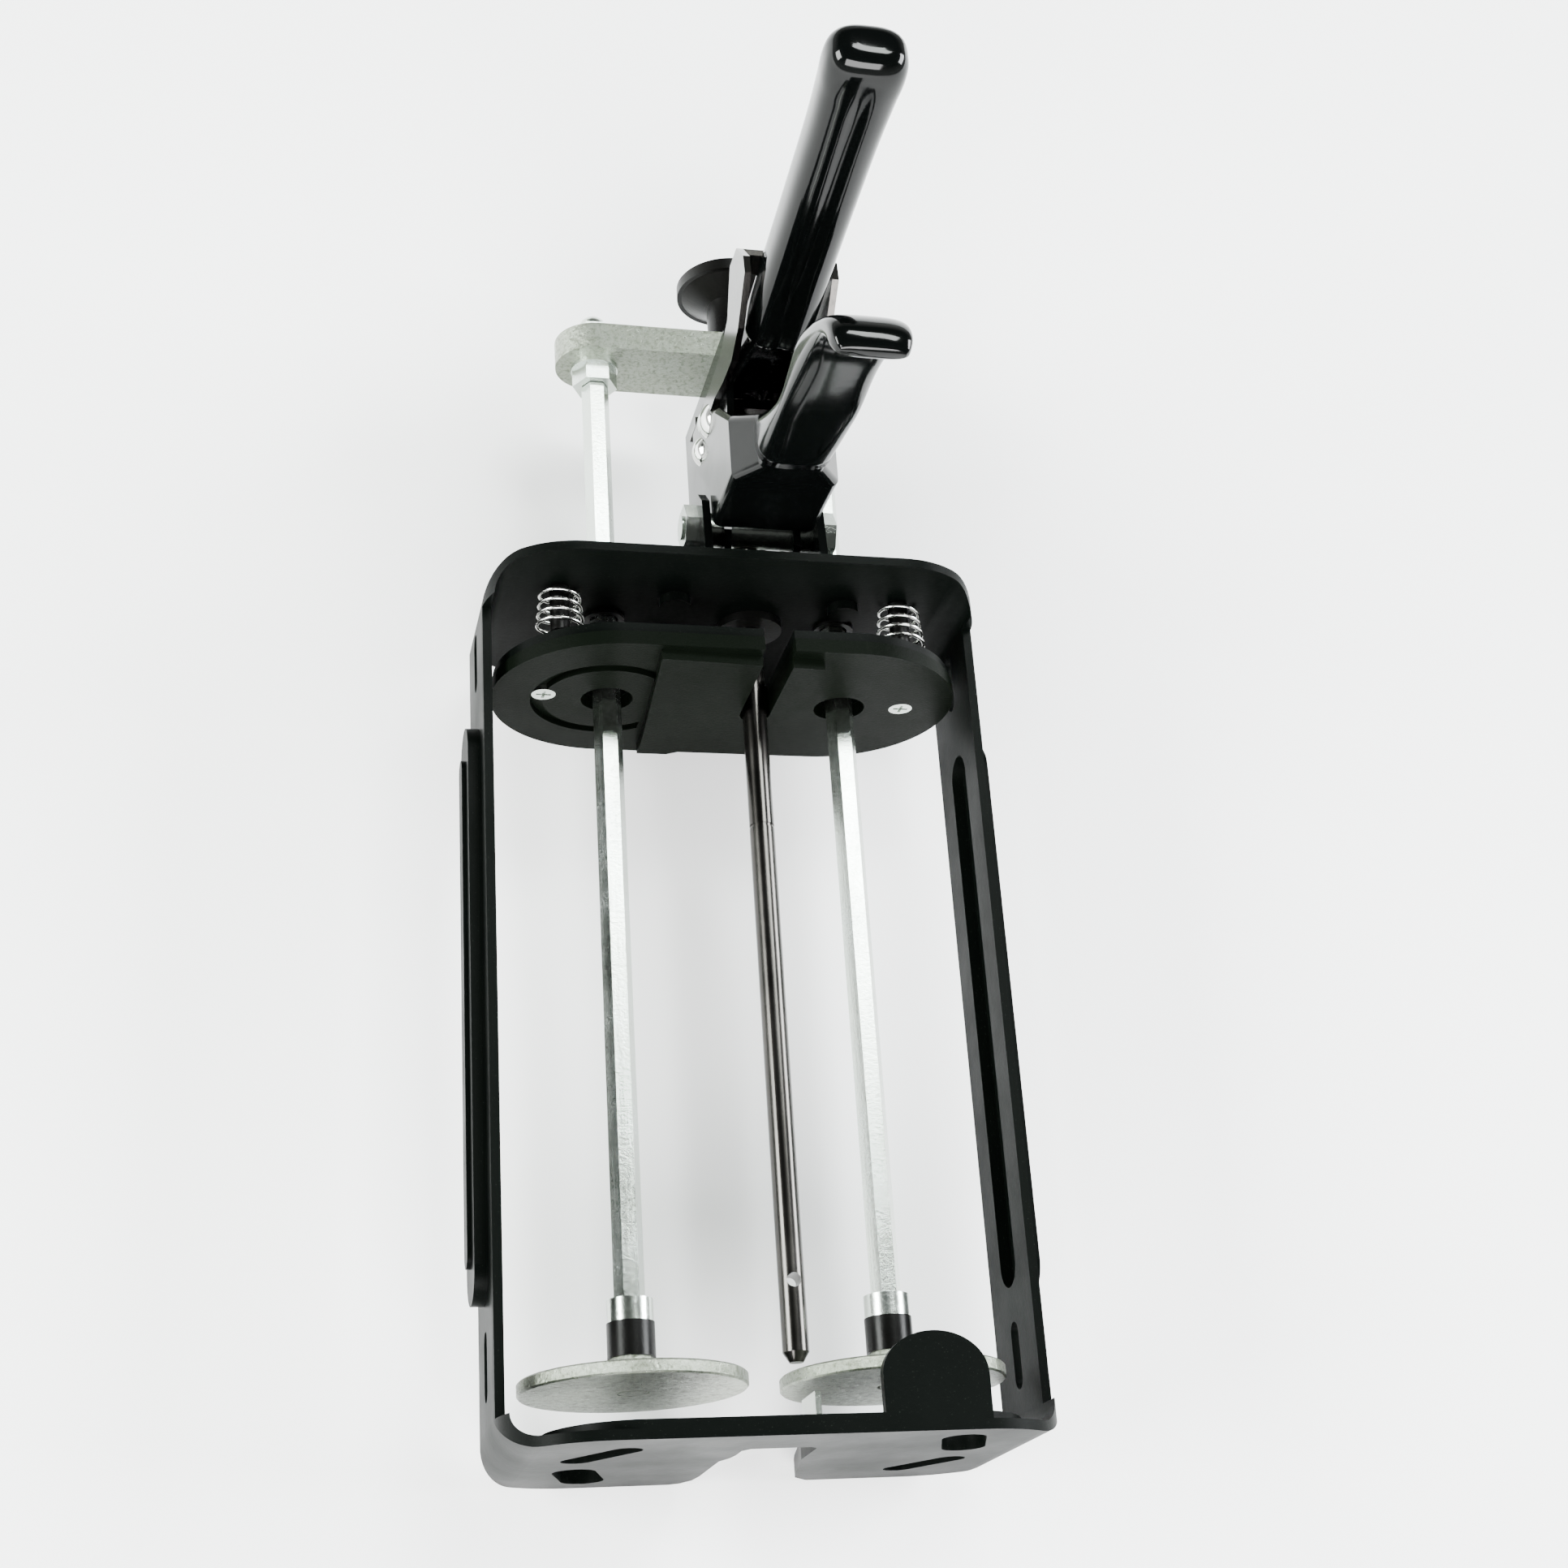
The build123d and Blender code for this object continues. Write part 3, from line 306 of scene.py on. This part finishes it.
def skin(name, rings, node, body):
    """A closed, smoothly shaded mesh through rings of points in millimetres."""
    rings = np.array(rings)
    count, around = rings.shape[:2]
    points = [tuple(p * MM) for p in rings.reshape(-1, 3)]
    faces = []
    for i in range(count - 1):
        for j in range(around):
            k = (j + 1) % around
            faces.append((i * around + j, i * around + k, (i + 1) * around + k,
                          (i + 1) * around + j))
    faces.append(tuple(reversed(range(around))))
    faces.append(tuple((count - 1) * around + j for j in range(around)))
    mesh = bpy.data.meshes.new(name)
    mesh.from_pydata(points, [], faces)
    mesh.update()
    mesh.polygons.foreach_set("use_smooth", [True] * len(mesh.polygons))
    mesh.materials.append(LOOKS["black_vinyl"])
    obj = bpy.data.objects.new(name, mesh)
    bpy.context.scene.collection.objects.link(obj)
    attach(obj, body)
    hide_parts(node)


def power(value, exponent):
    """A power that keeps the sign of its base."""
    return math.copysign(abs(value) ** exponent, value)


def handle_grip():
    """The handle grip; each row is height, middle from the front plate, half width, half depth."""
    rows = smooth_rows([(82.0, 258.8, 7.7, 7.1), (84.0, 259.0, 8.1, 7.4), (110.0, 261.3, 8.0, 7.2),
                        (130.0, 263.0, 8.1, 7.1), (148.0, 264.5, 8.3, 7.0), (160.0, 265.5, 8.8, 7.0),
                        (166.0, 266.0, 9.2, 7.0), (170.0, 266.3, 8.9, 6.5), (172.6, 266.4, 7.6, 5.3),
                        (173.8, 266.4, 5.6, 3.6), (174.2, 266.4, 3.0, 1.8)], ROW_STEPS)
    rings = []
    for z, middle, half_x, half_y in rows:
        groove = GROOVE_DEPTH * min(1.0, max(0.0, (GROOVE_TOP - z) / GROOVE_FADE))
        ring = []
        for turn in np.linspace(0.0, 2 * math.pi, HANDLE_AROUND, endpoint=False):
            x = half_x * power(math.cos(turn), HANDLE_SQUARENESS)
            y = half_y * power(math.sin(turn), HANDLE_SQUARENESS)
            if y < 0:
                y += groove * math.exp(-(x / GROOVE_REACH) ** 2) * abs(y) / half_y
            ring.append((HANDLE_X / MM + x, FRONT / MM + middle + y, z))
        rings.append(ring)
    skin("handle_grip_skin", rings, "handle_grip", "tool")


def trigger_grip():
    """The trigger grip; each row is front y and z, rear y and z, half width, trough depth."""
    rows = smooth_rows([(214.6, 88.0, 230.4, 88.0, 9.1, 12.6), (213.9, 104.0, 222.4, 104.0, 9.1, 5.3),
                        (213.3, 114.0, 219.9, 114.0, 9.1, 3.4), (212.7, 129.0, 223.6, 129.0, 9.1, 4.0),
                        (211.9, 139.0, 219.6, 140.5, 9.2, 1.0), (209.4, 147.0, 215.2, 149.0, 9.2, 0.0),
                        (206.2, 151.0, 211.6, 154.2, 9.1, 0.0), (203.6, 152.0, 207.4, 157.0, 8.8, 0.0),
                        (202.2, 153.0, 204.0, 157.1, 8.0, 0.0), (201.6, 154.2, 202.4, 156.2, 7.0, 0.0)],
                       ROW_STEPS)
    rings = []
    for front_y, front_z, rear_y, rear_z, half_x, trough in rows:
        half = 0.5 * math.hypot(rear_y - front_y, rear_z - front_z)
        ring = []
        for turn in np.linspace(0.0, 2 * math.pi, TRIGGER_AROUND, endpoint=False):
            x = half_x * power(math.cos(turn), TRIGGER_SQUARENESS)
            v = half * power(math.sin(turn), TRIGGER_SQUARENESS)
            if v > 0:
                across = x / (half_x - TROUGH_WALL)
                v -= max(trough, 0.0) * max(0.0, 1.0 - across ** TROUGH_FLATNESS)
            share = 0.5 + 0.5 * v / half
            ring.append((HANDLE_X / MM + x, FRONT / MM + front_y + share * (rear_y - front_y),
                         front_z + share * (rear_z - front_z)))
        rings.append(ring)
    skin("trigger_grip_skin", rings, "trigger_grip", "trigger")


handle_grip()
trigger_grip()


# ---------------------------------------------------------------- floor, light and camera

def stage_material():
    """Matte white studio sheet."""
    g = Graph("studio_white")
    g.set(Base_Color=g.mix(g.noise(3.0), (0.90, 0.90, 0.90), (0.93, 0.93, 0.93)), Roughness=0.75)
    return g.material


def floor():
    """A plain pale sheet just below the tool."""
    size = FLOOR_HALF
    mesh = bpy.data.meshes.new("studio_floor")
    mesh.from_pydata([(-size, -size, 0), (size, -size, 0), (size, size, 0), (-size, size, 0)], [],
                     [(0, 1, 2, 3)])
    obj = bpy.data.objects.new("studio_floor", mesh)
    obj.location.z = -FLOOR_DROP
    bpy.context.scene.collection.objects.link(obj)
    mesh.materials.append(stage_material())


def area_light(name, place, size, watts, colour=(1.0, 1.0, 1.0)):
    """A rectangular softbox aimed at the tool."""
    data = bpy.data.lights.new(name, "AREA")
    data.shape = "RECTANGLE"
    data.size, data.size_y = size
    data.energy = watts
    data.color = colour
    obj = bpy.data.objects.new(name, data)
    obj.location = place
    obj.rotation_mode = "QUATERNION"
    obj.rotation_quaternion = (Vector(LIGHT_TARGET) - Vector(place)).to_track_quat("-Z", "Y")
    bpy.context.scene.collection.objects.link(obj)


def world_glow():
    """Dark overhead, brighter towards the horizon, so that black paint stays deep."""
    world = bpy.data.worlds.new("studio")
    world.use_nodes = True
    tree = world.node_tree
    glow = tree.nodes["Background"]
    coord = tree.nodes.new("ShaderNodeTexCoord")
    parts = tree.nodes.new("ShaderNodeSeparateXYZ")
    fade = tree.nodes.new("ShaderNodeMapRange")
    tree.links.new(coord.outputs["Generated"], parts.inputs["Vector"])
    tree.links.new(parts.outputs["Z"], fade.inputs["Value"])
    for key, value in (("From Min", 0.0), ("From Max", 0.45), ("To Min", 1.1), ("To Max", 0.07)):
        fade.inputs[key].default_value = value
    tree.links.new(fade.outputs["Result"], glow.inputs["Strength"])
    glow.inputs["Color"].default_value = (0.97, 1.0, 0.97, 1.0)
    bpy.context.scene.world = world


def lights():
    """Soft light from the front, both sides and high behind."""
    world_glow()
    area_light("front_softbox", (-0.2, -1.9, 1.3), (2.2, 1.2), 240.0)
    area_light("left_softbox", (-2.2, -0.1, 1.1), (1.6, 0.9), 230.0, (0.96, 1.0, 0.97))
    area_light("right_softbox", (2.2, 0.3, 1.1), (1.6, 0.9), 230.0, (0.95, 0.98, 1.0))
    area_light("overhead_softbox", (0.5, 1.0, 2.1), (1.0, 0.45), 60.0, (0.95, 1.0, 0.98))


def camera():
    """The main viewing angle: above and in front, from the left."""
    data = bpy.data.cameras.new("camera")
    data.sensor_width = SENSOR_WIDTH
    data.lens = LENS
    data.clip_start, data.clip_end = 0.01, 20.0
    obj = bpy.data.objects.new("camera", data)
    bpy.context.scene.collection.objects.link(obj)
    right = Vector(CAMERA_RIGHT)
    down = Vector(CAMERA_DOWN)
    ahead = right.cross(down)
    turn = Matrix((right, -down, -ahead)).transposed()
    obj.matrix_world = Matrix.Translation(CAMERA_PLACE) @ turn.to_4x4()
    bpy.context.scene.camera = obj


floor()
lights()
camera()
